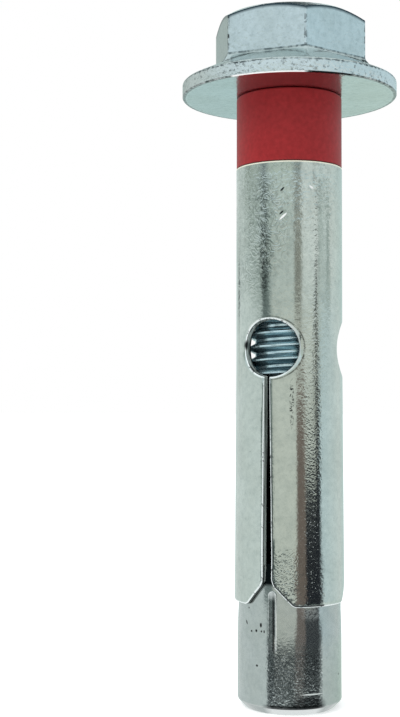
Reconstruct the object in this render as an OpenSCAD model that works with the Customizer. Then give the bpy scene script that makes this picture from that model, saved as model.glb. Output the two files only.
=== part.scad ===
// Expansion sleeve anchor for a 10 mm hole: a hexagon flange bolt draws a cone nut
// into the split end of a steel sleeve, with a crush collar between sleeve and flange.
// It stands on the end of the nut with its head up: z = 0 is the nut's end face and
// +Z runs along the axis towards the head. All sizes are in millimetres.

/* [Thread] */
// Nominal diameter of the bolt's thread
thread_d = 8; // [6:0.5:10]
// Radial play of the bolt in the thread of the nut
thread_play = 0.05; // [0.02:0.01:0.1]

/* [Head] */
// Width of the hexagon across its flats
hex_af = 13; // [11:0.5:15]
// Height of the head over the underside of its flange
head_h = 7.45; // [6:0.05:9]
// How far the round top face lies inside the flats
hex_crown = 0.35; // [0.1:0.05:1]
// Angle of the chamfer round the top face
hex_chamfer = 30; // [15:1:40]
// How far the hexagon's corners are blunted
corner_blunt = 0.1; // [0.05:0.01:0.4]
// Angle of one hexagon corner from the front of the anchor
hex_turn = 11.7; // [0:0.1:60]
// Diameter of the flange
flange_d = 20.3; // [18:0.1:25]
// Height of the flange's rim
rim_h = 1.3; // [0.8:0.1:2]
// Radius of the rim's upper edge
rim_edge_r = 0.45; // [0.1:0.05:0.7]
// Bevel of the rim's lower edge
rim_bevel = 0.08; // [0.05:0.01:0.3]
// Slope of the flange's top
flange_slope = 25; // [10:1:30]
// Radius of the hollow fillet round the foot of the hexagon
foot_fillet_r = 0.7; // [0.3:0.1:1.2]
// Steepness of the skirt that carries the fillet down to the flange
foot_slope = 55; // [40:1:70]
// Height of the fillet over the flange at the middle of a flat
foot_rise = 0.3; // [0.1:0.05:0.6]

/* [Shank] */
// How far the tip of the bolt stays back inside the nut
tip_recess = 1.2; // [0.5:0.1:3]
// Chamfer at the tip of the bolt
tip_chamfer = 0.8; // [0.3:0.1:1.2]

/* [Collar] */
// Height of the collar
collar_h = 6.8; // [4:0.1:12]
// How far the collar's wall lies inside the sleeve's
collar_inset = 0.02; // [0:0.01:0.3]
// Radial play of the bolt in the collar
collar_play = 0.15; // [0.05:0.05:0.4]
// Bevel of the collar's edges
collar_bevel = 0.15; // [0.05:0.05:0.3]
// Gap between the collar and the flange
head_gap = 0.02; // [0.01:0.01:0.1]

/* [Sleeve] */
// Length of the sleeve
sleeve_len = 40.6; // [30:0.1:70]
// Thickness of the sleeve's wall
sleeve_wall = 0.95; // [0.7:0.05:1.5]
// Radial play of the bolt in the sleeve
sleeve_play = 0.1; // [0.05:0.05:0.3]
// Bevel of the sleeve's upper edge
sleeve_bevel = 0.12; // [0.05:0.01:0.3]
// Number of windows, slits and leaves
leaf_count = 3; // [2:1:4]
// Angle of the first slit from the front of the anchor
slit_turn = -22; // [-60:1:60]
// Diameter of the round windows
window_d = 5.2; // [3:0.1:6]
// Depth of the windows' centres below the top of the sleeve
window_drop = 17.1; // [8:0.1:22]
// Width of a slit where it leaves its window
slit_w_top = 0.65; // [0.4:0.05:1.2]
// Width of a slit at its notch
slit_w_end = 0.9; // [0.5:0.05:1.6]
// Height of the notch at the end of a slit
notch_h = 2.05; // [1.2:0.05:3]
// Width of the notch at the end of the sleeve
notch_w = 4.7; // [2.5:0.1:6]
// How far the ends of the leaves are spread outwards
leaf_spread = 0.15; // [0:0.01:0.4]
// Bevel of the leaves' ends
leaf_bevel = 0.25; // [0.1:0.05:0.4]

/* [Nut] */
// Length of the nut's straight part
nut_straight = 6; // [4:0.1:10]
// Length of the nut's tapered part
cone_len = 7.6; // [5:0.1:12]
// How far the cone reaches into the sleeve
cone_grip = 3.8; // [2.5:0.1:5]
// How far the nut's wall lies inside the sleeve's
nut_inset = 0.13; // [0.05:0.01:0.3]
// Wall of the nut at its narrow end
cone_tip_wall = 0.4; // [0.25:0.05:0.6]
// Gap between the leaves and the cone
seat_gap = 0.03; // [0.01:0.01:0.1]
// Chamfer round the nut's end face
nut_chamfer = 0.7; // [0.2:0.05:0.8]
// Width of the ribs that keep the nut from turning
rib_w = 0.8; // [0.4:0.05:1.2]
// How far the ribs' ends stay below the slits
rib_gap = 0.65; // [0.3:0.05:1]
// Angle that the nut is turned in its play from the slits
nut_turn = 3; // [-3:0.5:3]

/* [Hidden] */
$fn = 96;
steel = "#b3c3c1";
red_plastic = "#a3282e";

// Radii of what passes through and round the bolt
nut_bore_r = thread_d / 2;
bolt_r = nut_bore_r - thread_play;
collar_bore_r = bolt_r + collar_play;
sleeve_bore_r = bolt_r + sleeve_play;
sleeve_r = sleeve_bore_r + sleeve_wall;
collar_r = sleeve_r - collar_inset;
leaf_end_r = sleeve_r + leaf_spread;
nut_r = sleeve_r - nut_inset;
cone_tip_r = nut_bore_r + cone_tip_wall;

// Heights of the stack, from the nut up
nut_len = nut_straight + cone_len;
sleeve_z = nut_len - cone_grip;
slit_end_z = sleeve_z + notch_h;
window_z = sleeve_z + sleeve_len - window_drop;
leaf_bend_z = window_z - window_d / 4;
collar_z = sleeve_z + sleeve_len;
flange_z = collar_z + collar_h + head_gap;

// The nut's taper is an arc that leaves the straight part without a kink
cone_arc_r = (pow(cone_len, 2) + pow(nut_r - cone_tip_r, 2)) / (2 * (nut_r - cone_tip_r));
function cone_radius(z) = nut_r - cone_arc_r + sqrt(pow(cone_arc_r, 2) - pow(z - nut_straight, 2));
// Height where the taper, drawn on past the nut, comes down to a radius
function cone_height(r) = nut_straight + sqrt(pow(cone_arc_r, 2) - pow(cone_arc_r - nut_r + r, 2));
leaf_seat_end_z = cone_height(sleeve_bore_r - seat_gap);

// The flange's top: a cone with a rounded edge, and its height at a radius
flange_r = flange_d / 2;
edge_run = rim_edge_r * tan((90 - flange_slope) / 2);
function flange_top(r) = rim_h + (flange_r - r) * tan(flange_slope);
hex_r = hex_af / 2;
foot_top = flange_top(hex_r) + foot_rise;
// How many times as far from the axis a hexagon's corners lie as its flats
corner_share = 1 / cos(30);
foot_turn = 90 - foot_slope;
hex_reach = 2 * flange_r;

// Points of an arc in a profile, from one angle to another
function arc(centre, r, from, to, steps = 8) =
    [for (i = [0:steps]) centre + r * [cos(from + (to - from) * i / steps), sin(from + (to - from) * i / steps)]];

// The fillet round the hexagon's foot, its end and the skirt's distance at a height
foot_fillet = arc([hex_r + foot_fillet_r, foot_top], foot_fillet_r, 180, 180 + foot_turn);
foot_end = foot_fillet[len(foot_fillet) - 1];
function foot_x(z) = foot_end.x + (foot_end.y - z) / tan(foot_slope);

// A shape placed at an angle from the front, turned about the axis
module at_angle(angle) {
    rotate([0, 0, angle]) rotate([90, 0, 0]) children();
}

// One copy for each slit, first at the given angle
module at_slits(angle) {
    for (i = [0:leaf_count - 1])
        at_angle(angle + i * 360 / leaf_count) children();
}

// Flange with a bevelled lower edge, a rounded upper one and a sloping top
module flange() {
    rotate_extrude()
        polygon(concat(
            [[0, 0], [flange_r - rim_bevel, 0], [flange_r, rim_bevel]],
            arc([flange_r - rim_edge_r, rim_h - edge_run], rim_edge_r, 0, 90 - flange_slope),
            [[hex_r, flange_top(hex_r)], [0, flange_top(hex_r)]]));
}

// Section of the hexagon across two flats, with the hollow fillet at its foot
module hex_section() {
    half = concat([[0, head_h], [hex_r, head_h]], foot_fillet,
        [[foot_x(rim_h), rim_h], [0, rim_h]]);
    polygon(half);
    mirror([1, 0]) polygon(half);
}

// Round form that blunts the hexagon's corners, down to the flange
module corner_round() {
    corner_r = hex_r * corner_share - corner_blunt;
    rotate_extrude() polygon([
        [0, 0], [corner_r + (foot_x(0) - hex_r) * corner_share, 0],
        [corner_r, foot_end.y + (foot_end.x - hex_r) * tan(foot_slope)],
        [corner_r, head_h], [0, head_h]]);
}

// Hexagon whose six fillets meet in blunt mitres, with a chamfered round top
module hexagon() {
    crown_r = hex_r - hex_crown;
    intersection() {
        for_flats(0) hex_section();
        for_flats(60) hex_section();
        for_flats(120) hex_section();
        corner_round();
        cylinder(h = head_h, r1 = crown_r + head_h / tan(hex_chamfer), r2 = crown_r);
    }
}

// A section drawn out along one pair of flats
module for_flats(angle) {
    rotate([0, 0, angle]) rotate([90, 0, 0])
        linear_extrude(height = hex_reach, center = true) children();
}

module bolt() {
    color(steel) {
        translate([0, 0, flange_z]) {
            flange();
            rotate([0, 0, hex_turn]) hexagon();
        }
        translate([0, 0, tip_recess]) {
            cylinder(h = tip_chamfer, r1 = bolt_r - tip_chamfer, r2 = bolt_r);
            translate([0, 0, tip_chamfer])
                cylinder(h = flange_z - tip_recess - tip_chamfer + rim_h / 2, r = bolt_r);
        }
    }
}

module collar() {
    color(red_plastic)
        translate([0, 0, collar_z]) difference() {
            rotate_extrude() polygon([
                [0, 0], [collar_r - collar_bevel, 0], [collar_r, collar_bevel],
                [collar_r, collar_h - collar_bevel], [collar_r - collar_bevel, collar_h], [0, collar_h]]);
            translate([0, 0, -1]) cylinder(h = collar_h + 2, r = collar_bore_r);
        }
}

// Wall of the sleeve: straight above the windows, spread below them, and opened
// inside at its end by the same arc as the cone that it sits on
module sleeve_wall_ring() {
    seat = [for (i = [0:10]) let (z = sleeve_z + (leaf_seat_end_z - sleeve_z) * i / 10)
        [cone_radius(z) + seat_gap, z]];
    rotate_extrude() polygon(concat(seat, [
        [sleeve_bore_r, collar_z],
        [sleeve_r - sleeve_bevel, collar_z],
        [sleeve_r, collar_z - sleeve_bevel],
        [sleeve_r, leaf_bend_z],
        [leaf_end_r, sleeve_z + leaf_bevel],
        [leaf_end_r - leaf_bevel, sleeve_z]]));
}

// Slit that widens from its window down to the notch that ends it
module slit() {
    notch_slope = (notch_w - slit_w_end) / 2 / notch_h;
    side = [[slit_w_top / 2, window_z], [slit_w_end / 2, slit_end_z],
        [notch_w / 2 + notch_slope, sleeve_z - 1]];
    far_side = [for (i = [len(side) - 1:-1:0]) [-side[i].x, side[i].y]];
    linear_extrude(height = 2 * leaf_end_r) polygon(concat(side, far_side));
}

module window() {
    translate([0, window_z, 0]) cylinder(h = 2 * leaf_end_r, r = window_d / 2);
}

module sleeve() {
    color(steel) difference() {
        sleeve_wall_ring();
        at_slits(slit_turn) {
            slit();
            window();
        }
    }
}

// Rib that runs on from the straight part at the same radius, with a round end
module rib() {
    top = slit_end_z - rib_gap;
    linear_extrude(height = 2 * nut_r) {
        translate([-rib_w / 2, nut_straight - rib_w])
            square([rib_w, top - nut_straight + rib_w / 2]);
        translate([0, top - rib_w / 2]) circle(d = rib_w);
    }
}

module cone_nut() {
    taper = [for (i = [0:8]) let (z = nut_straight + cone_len * i / 8) [cone_radius(z), z]];
    color(steel) difference() {
        union() {
            rotate_extrude() polygon(concat(
                [[0, 0], [nut_r - nut_chamfer, 0], [nut_r, nut_chamfer]], taper, [[0, nut_len]]));
            intersection() {
                cylinder(h = nut_len, r = nut_r);
                at_slits(slit_turn + nut_turn) rib();
            }
        }
        translate([0, 0, -1]) cylinder(h = nut_len + 2, r = nut_bore_r);
    }
}

bolt();
collar();
sleeve();
cone_nut();
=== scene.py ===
"""Looks of a sleeve anchor for a 10 mm hole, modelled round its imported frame.

Pieces are modelled in millimetres, where the frame stands at its real place, and each
finished mesh is then scaled to metres. z = 0 is the end face of the cone nut, +Z points
to the head and -Y to the front. An angle is measured from the front, positive to +X.
"""
import functools
import math

import bmesh
import bpy
from mathutils import Matrix, Vector


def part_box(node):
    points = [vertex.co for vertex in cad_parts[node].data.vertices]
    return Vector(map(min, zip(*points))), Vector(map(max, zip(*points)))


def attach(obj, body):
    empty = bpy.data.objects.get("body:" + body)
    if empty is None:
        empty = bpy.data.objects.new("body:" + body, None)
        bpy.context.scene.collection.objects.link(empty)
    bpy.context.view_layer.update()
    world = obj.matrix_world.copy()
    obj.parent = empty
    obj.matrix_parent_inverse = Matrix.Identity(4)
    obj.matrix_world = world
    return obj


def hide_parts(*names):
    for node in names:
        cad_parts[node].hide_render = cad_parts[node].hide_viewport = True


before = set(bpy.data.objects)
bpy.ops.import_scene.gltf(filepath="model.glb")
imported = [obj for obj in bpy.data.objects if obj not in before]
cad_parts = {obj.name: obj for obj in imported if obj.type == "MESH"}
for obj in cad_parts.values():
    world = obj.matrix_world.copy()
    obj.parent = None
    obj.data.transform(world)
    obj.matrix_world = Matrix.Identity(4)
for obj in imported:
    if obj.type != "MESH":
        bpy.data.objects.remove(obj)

MM = 0.001
ROUND_STEPS = 192
SMALL_ROUND_STEPS = 96
SMOOTH_ANGLE = 35
# Points closer than MERGE become one, a cut passes through what is nearer than SLIVER, and a point
# nearer than NEAR counts as in its place
MERGE = 0.0005
SLIVER = 0.00001
NEAR = 0.01

# Sizes of the anchor that its frame doesn't give, in millimetres and degrees: an M8 bolt with a
# 13 mm hexagon in a sleeve for a 10 mm hole. A drop is measured down from the sleeve's upper end.
PITCH = 1.25
HEX_AF = 13
HEX_TURN = 11.7
SLEEVE_R = 5.0
SLEEVE_BORE_R = 4.05
LEAF_END_R = 5.15
SLIT_TURN = -22
WINDOW_R = 2.6
WINDOW_DROP = 17.1
NUT_R = 4.87
NUT_STRAIGHT = 6
CONE_TIP_R = 4.4
SEAT_GAP = 0.03


def linear(code):
    """An sRGB hex colour as linear values, with full alpha."""
    values = [int(code[i:i + 2], 16) / 255 for i in (1, 3, 5)]
    return [v / 12.92 if v <= 0.04045 else ((v + 0.055) / 1.055) ** 2.4 for v in values] + [1]


def heights(node):
    """Lowest and highest z of a node of the frame, in millimetres."""
    low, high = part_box(node)
    return low.z / MM, high.z / MM


BOLT_LOW, BOLT_HIGH = heights("bolt")
COLLAR_LOW, COLLAR_HIGH = heights("collar")
SLEEVE_LOW, SLEEVE_HIGH = heights("sleeve")
NUT_LOW, NUT_HIGH = heights("cone_nut")


# Modelling


def clear_selection():
    """Leaves edit mode and deselects every object."""
    if bpy.context.object and bpy.context.object.mode != "OBJECT":
        bpy.ops.object.mode_set(mode="OBJECT")
    bpy.ops.object.select_all(action="DESELECT")


def edit(piece):
    """Opens a piece in edit mode with nothing else selected and all of its mesh selected."""
    clear_selection()
    piece.select_set(True)
    bpy.context.view_layer.objects.active = piece
    bpy.ops.object.mode_set(mode="EDIT")
    bpy.ops.mesh.select_mode(type="VERT")
    bpy.ops.mesh.select_all(action="SELECT")


def close_edit():
    bpy.ops.object.mode_set(mode="OBJECT")


def pick_edges(piece, test):
    """Selects the edges of the open piece that pass the test."""
    bpy.ops.mesh.select_all(action="DESELECT")
    bpy.ops.mesh.select_mode(type="EDGE")
    mesh = bmesh.from_edit_mesh(piece.data)
    for edge in mesh.edges:
        edge.select_set(bool(test(edge)))
    bmesh.update_edit_mesh(piece.data)


def pick_faces(piece, test):
    """Selects the faces of the open piece that pass the test."""
    bpy.ops.mesh.select_all(action="DESELECT")
    bpy.ops.mesh.select_mode(type="FACE")
    mesh = bmesh.from_edit_mesh(piece.data)
    for face in mesh.faces:
        face.select_set(bool(test(face)))
    bmesh.update_edit_mesh(piece.data)


def apply_modifier(piece, kind, **settings):
    """Adds a modifier to a piece with its settings and applies it."""
    clear_selection()
    piece.select_set(True)
    bpy.context.view_layer.objects.active = piece
    modifier = piece.modifiers.new(kind.title(), kind)
    for name, value in settings.items():
        setattr(modifier, name, value)
    bpy.ops.object.modifier_apply(modifier=modifier.name)


def combine(piece, other, operation):
    """Joins, cuts or intersects a piece with another one, which is used up."""
    apply_modifier(piece, "BOOLEAN", object=other, operation=operation, solver="EXACT")
    bpy.data.objects.remove(other)


def drawn_line(name, points):
    """An open chain of edges through the points, left open in edit mode."""
    clear_selection()
    bpy.ops.mesh.primitive_plane_add(size=1)
    piece = bpy.context.object
    piece.name = name
    edit(piece)
    bpy.ops.mesh.merge(type="CENTER")
    bpy.ops.transform.translate(value=points[0])
    for last, point in zip(points, points[1:]):
        step = Vector(point) - Vector(last)
        bpy.ops.mesh.extrude_region_move(TRANSFORM_OT_translate={"value": step})
    return piece


def tidy_open_mesh():
    """Merges the doubles of the open piece and turns its faces outwards."""
    bpy.ops.mesh.select_all(action="SELECT")
    bpy.ops.mesh.remove_doubles(threshold=MERGE)
    bpy.ops.mesh.normals_make_consistent(inside=False)


def turned(name, outline, steps=ROUND_STEPS):
    """A solid turned about the axis from an outline of (radius, height) points."""
    piece = drawn_line(name, [(r, 0, z) for r, z in outline])
    bpy.ops.mesh.select_all(action="SELECT")
    bpy.ops.mesh.spin(steps=steps, angle=math.tau, center=(0, 0, 0), axis=(0, 0, 1))
    tidy_open_mesh()
    close_edit()
    return piece


def arc(centre, radius, start, end, steps):
    """Points of an arc in an outline, from one angle to another, in degrees."""
    angles = [math.radians(start + (end - start) * i / steps) for i in range(steps + 1)]
    return [(centre[0] + radius * math.cos(a), centre[1] + radius * math.sin(a)) for a in angles]


def finish_piece(piece, body, node, material):
    """Scales a piece to metres, smooths it, gives it its material, sets what it rides on, and hides
    the node of the frame that it stands for.
    """
    clear_selection()
    piece.select_set(True)
    bpy.context.view_layer.objects.active = piece
    piece.data.transform(Matrix.Scale(MM, 4))
    bpy.ops.object.shade_smooth_by_angle(angle=math.radians(SMOOTH_ANGLE))
    apply_modifier(piece, "WEIGHTED_NORMAL", keep_sharp=True)
    piece.data.materials.clear()
    piece.data.materials.append(material)
    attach(piece, body)
    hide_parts(node)
    return piece


# Bolt: heights are above the flange's underside, and slopes are from the level. The crown is the
# chamfer round the hexagon's top, and the foot is where its flats run out into the flange.

HEAD_H = 7.45
FLANGE_LOW = BOLT_HIGH - HEAD_H
FLANGE_R = 10.15
RIM_H = 1.3
RIM_EDGE_R = 0.25
RIM_BEVEL = 0.08
FLANGE_SLOPE = 25
HEX_CROWN = 0.35
HEX_CHAMFER = 30
CROWN_EDGE_R = 0.35
CORNER_CUT = 0.14
FOOT_RISE = 0.3
FOOT_FILLET_R = 0.7
FOOT_SLOPE = 55
TIP_CHAMFER = 0.8
CREST_R = 3.92
ROOT_R = 3.22
THREAD_TURN = -99


def flange_top(r):
    """Height of the sloping flange above its underside, at a radius."""
    return RIM_H + (FLANGE_R - r) * math.tan(math.radians(FLANGE_SLOPE))


def hexagon_block(base):
    """Hexagon with blunt corners whose foot is drawn out into a fillet and a skirt."""
    flat_r = HEX_AF / 2
    foot_top = flange_top(flat_r) + FOOT_RISE
    clear_selection()
    bpy.ops.mesh.primitive_cylinder_add(
        vertices=6, radius=flat_r / math.cos(math.radians(30)), depth=HEAD_H - foot_top,
        location=(0, 0, base + (HEAD_H + foot_top) / 2), rotation=(0, 0, math.radians(HEX_TURN)))
    piece = bpy.context.object
    piece.name = "hexagon"
    bpy.ops.object.transform_apply(location=True, rotation=True, scale=True)
    edit(piece)
    pick_edges(piece, lambda e: abs(e.verts[0].co.z - e.verts[1].co.z) > 1)
    bpy.ops.mesh.bevel(offset=CORNER_CUT, segments=4, profile=0.5, affect="EDGES")
    foot_z = base + foot_top
    pick_faces(piece, lambda f: f.normal.z < -0.9)
    fillet = arc((flat_r + FOOT_FILLET_R, foot_z), FOOT_FILLET_R, 180, 270 - FOOT_SLOPE, 10)
    last = fillet[-1]
    skirt_end = base + RIM_H
    fillet.append((last[0] + (last[1] - skirt_end) / math.tan(math.radians(FOOT_SLOPE)), skirt_end))
    for (r, z), (next_r, next_z) in zip(fillet, fillet[1:]):
        bpy.ops.mesh.extrude_region_move(TRANSFORM_OT_translate={"value": (0, 0, next_z - z)})
        bpy.ops.transform.resize(value=(next_r / r, next_r / r, 1), center_override=(0, 0, next_z))
    close_edit()
    return piece


def head(base):
    """Head of the bolt: crowned hexagon on its flange."""
    crown_r = HEX_AF / 2 - HEX_CROWN
    top = base + HEAD_H
    crown_reach = FLANGE_R + 1
    crown_drop = (crown_reach - crown_r) * math.tan(math.radians(HEX_CHAMFER))
    edge_run = CROWN_EDGE_R * math.tan(math.radians(HEX_CHAMFER / 2))
    crown_edge = arc((crown_r - edge_run, top - CROWN_EDGE_R), CROWN_EDGE_R, 90 - HEX_CHAMFER, 90, 5)
    crown = turned("crown", [(0, base - 1), (crown_reach, base - 1), (crown_reach, top - crown_drop)]
                   + crown_edge + [(0, top)])
    block = hexagon_block(base)
    combine(block, crown, "INTERSECT")
    edge_back = RIM_EDGE_R * math.tan(math.radians((90 - FLANGE_SLOPE) / 2))
    rim_edge = arc((FLANGE_R - RIM_EDGE_R, base + RIM_H - edge_back), RIM_EDGE_R, 0, 90 - FLANGE_SLOPE, 6)
    hidden_r = HEX_AF / 2 - 0.5
    hidden_z = base + flange_top(hidden_r)
    flange = turned("flange", [(0, base), (FLANGE_R - RIM_BEVEL, base), (FLANGE_R, base + RIM_BEVEL)]
                    + rim_edge + [(hidden_r, hidden_z), (0, hidden_z)])
    combine(block, flange, "UNION")
    return block


def threaded_rod(name, crest_r, root_r, low, high):
    """Right-hand thread between two heights, with flat ends."""
    half = PITCH / 2
    crest_half = 0.07
    root_half = 0.1
    round_in, round_along = 0.05, 0.06
    rise = [(root_r, 0), (root_r, root_half), (root_r + round_in, root_half + round_along),
            (crest_r - round_in, half - crest_half - round_along), (crest_r, half - crest_half)]
    profile = rise + [(r, PITCH - z) for r, z in reversed(rise)]
    start = low - 2 * PITCH
    turns = math.ceil((high - start) / PITCH) + 1
    piece = drawn_line(name, [(r, 0, start + z) for r, z in profile])
    bpy.ops.mesh.select_all(action="SELECT")
    bpy.ops.transform.translate(value=(0, 0, THREAD_TURN / 360 * PITCH))
    close_edit()
    apply_modifier(piece, "SCREW", angle=math.tau, steps=72, render_steps=72, iterations=turns,
                   screw_offset=PITCH, axis="Z", use_merge_vertices=True, merge_threshold=MERGE)
    edit(piece)
    bpy.ops.mesh.remove_doubles(threshold=MERGE)
    for height, keep_above in ((low, True), (high, False)):
        bpy.ops.mesh.select_all(action="SELECT")
        bpy.ops.mesh.bisect(plane_co=(0, 0, height), plane_no=(0, 0, 1), use_fill=True,
                            clear_inner=keep_above, clear_outer=not keep_above, threshold=SLIVER)
    tidy_open_mesh()
    close_edit()
    return piece


def bolt(material):
    """Head, plain neck and threaded shank with a chamfered tip, as one piece."""
    base, tip = FLANGE_LOW, BOLT_LOW
    thread_end = SLEEVE_HIGH + 2
    piece = head(base)
    shank = threaded_rod("shank", CREST_R, ROOT_R, tip, thread_end)
    for vertex in shank.data.vertices:
        reach = math.hypot(vertex.co.x, vertex.co.y)
        limit = CREST_R - TIP_CHAMFER + (vertex.co.z - tip)
        if reach > limit:
            vertex.co.x *= limit / reach
            vertex.co.y *= limit / reach
    neck_low, neck_high = thread_end - 0.6, base + 0.5
    neck = turned("neck", [(0, neck_low), (ROOT_R, neck_low), (CREST_R, thread_end),
                           (CREST_R, neck_high), (0, neck_high)], SMALL_ROUND_STEPS)
    combine(shank, neck, "UNION")
    combine(piece, shank, "UNION")
    piece.name = "flange_bolt"
    return finish_piece(piece, "bolt", "bolt", material)


# Collar

COLLAR_R = 4.98
COLLAR_BORE_R = 4.1
COLLAR_EDGE_R = 0.2


def collar(material):
    """Moulded tube with rounded edges."""
    low, high = COLLAR_LOW, COLLAR_HIGH
    edge, bore_edge = COLLAR_EDGE_R, COLLAR_EDGE_R / 2
    outer, inner = COLLAR_R - edge, COLLAR_BORE_R + bore_edge
    outline = (arc((outer, low + edge), edge, -90, 0, 6) + arc((outer, high - edge), edge, 0, 90, 6)
               + arc((inner, high - bore_edge), bore_edge, 90, 180, 4)
               + arc((inner, low + bore_edge), bore_edge, 180, 270, 4))
    piece = turned("crush_collar", outline + outline[:1])
    return finish_piece(piece, "sleeve", "collar", material)


# Sleeve: a window in each third, a slit that widens from SLIT_TOP to SLIT_END, and a notch below it.
# The window's shoulder is rounded, and rolls its edge wide by SIDE_ROLL and END_ROLL.

SLEEVE_WALL = SLEEVE_R - SLEEVE_BORE_R
CUT_PAST = 0.3
SECTOR = math.radians(120)
SLIT_TOP = 0.5
SLIT_END = 0.8
SLIT_OFF = -0.21
NOTCH_H = 2.05
NOTCH_W = 4.7
NOTCH_TOP_R = 0.5
NOTCH_FOOT_R = 0.3
SHOULDER = 0.3
SHOULDER_STEPS = 6
SHOULDER_TURN = math.radians(60)
SIDE_ROLL = 0.5
END_ROLL = 0.2
LIP = 0.24
TOP_LIP = 0.15
LIP_STEPS = 4
COLUMNS = 48


def cone_radius(z):
    """Radius of the nut's taper at a height."""
    length = NUT_HIGH - NUT_STRAIGHT
    fall = NUT_R - CONE_TIP_R
    arc_r = (length ** 2 + fall ** 2) / (2 * fall)
    return NUT_R - arc_r + math.sqrt(arc_r ** 2 - max(z - NUT_STRAIGHT, 0) ** 2)


def window_size(depth, flare):
    """Half width and half height of the window at a depth in the flat plate, with a share of its
    flare. The hole is straight, so it takes a wider angle of the wall at a smaller radius."""
    half_width = SLEEVE_R * math.asin(WINDOW_R / (SLEEVE_R - max(depth, 0)))
    return half_width + SIDE_ROLL * flare, WINDOW_R + END_ROLL * flare


def window_cutter(window_z):
    """Punch of the round window, with a rounded shoulder that rolls the edge wide at its sides."""
    rings = [(SLEEVE_WALL + CUT_PAST, 0), (SLEEVE_WALL, 0), (2 * SHOULDER, 0)]
    for i in range(SHOULDER_STEPS + 1):
        turn = SHOULDER_TURN * i / SHOULDER_STEPS
        rings.append((SHOULDER * (1 - math.sin(turn) / math.sin(SHOULDER_TURN)),
                      (1 - math.cos(turn)) / (1 - math.cos(SHOULDER_TURN))))
    rings.append((-CUT_PAST, 1))
    sizes = [window_size(depth, flare) for depth, flare in rings]
    clear_selection()
    bpy.ops.mesh.primitive_circle_add(vertices=SMALL_ROUND_STEPS, radius=1, fill_type="NGON",
                                      location=(0, rings[0][0], window_z), rotation=(math.pi / 2, 0, 0))
    cutter = bpy.context.object
    cutter.scale = (sizes[0][0], sizes[0][1], 1)
    bpy.ops.object.transform_apply(location=True, rotation=True, scale=True)
    edit(cutter)
    for last, ring, last_size, size in zip(rings, rings[1:], sizes, sizes[1:]):
        bpy.ops.mesh.extrude_region_move(TRANSFORM_OT_translate={"value": (0, ring[0] - last[0], 0)})
        bpy.ops.transform.resize(value=(size[0] / last_size[0], 1, size[1] / last_size[1]),
                                 center_override=(0, ring[0], window_z))
    bpy.ops.mesh.select_all(action="SELECT")
    bpy.ops.mesh.normals_make_consistent(inside=False)
    close_edit()
    return cutter


def slit_cutter(low, window_z):
    """Prism of the slit, which stands a little off the middle, and of the notch that ends it."""
    end = low - 1
    slope = (NOTCH_W - SLIT_END) / 2 / NOTCH_H
    side = [(SLIT_TOP / 2, window_z), (SLIT_END / 2, low + NOTCH_H), (NOTCH_W / 2 + slope, end)]
    outline = side + [(-x, z) for x, z in reversed(side)]
    outline = [(x + SLIT_OFF * min((z - end) / 4, 1), z) for x, z in outline]
    cutter = drawn_line("slit_cutter", [(x, -CUT_PAST, z) for x, z in outline + outline[:1]])
    bpy.ops.mesh.select_all(action="SELECT")
    bpy.ops.mesh.remove_doubles(threshold=MERGE)
    bpy.ops.mesh.edge_face_add()
    bpy.ops.mesh.extrude_region_move(TRANSFORM_OT_translate={"value": (0, SLEEVE_WALL + 2 * CUT_PAST, 0)})
    tidy_open_mesh()
    close_edit()
    return cutter


def runs_inwards(edge, x, z):
    """Is this an edge through the wall at about that place, or at its mirror image?"""
    a, b = (v.co for v in edge.verts)
    return abs(a.y - b.y) > SLEEVE_WALL / 2 and abs(abs(a.x) - x) < 0.2 and abs(a.z - z) < 0.05


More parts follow.
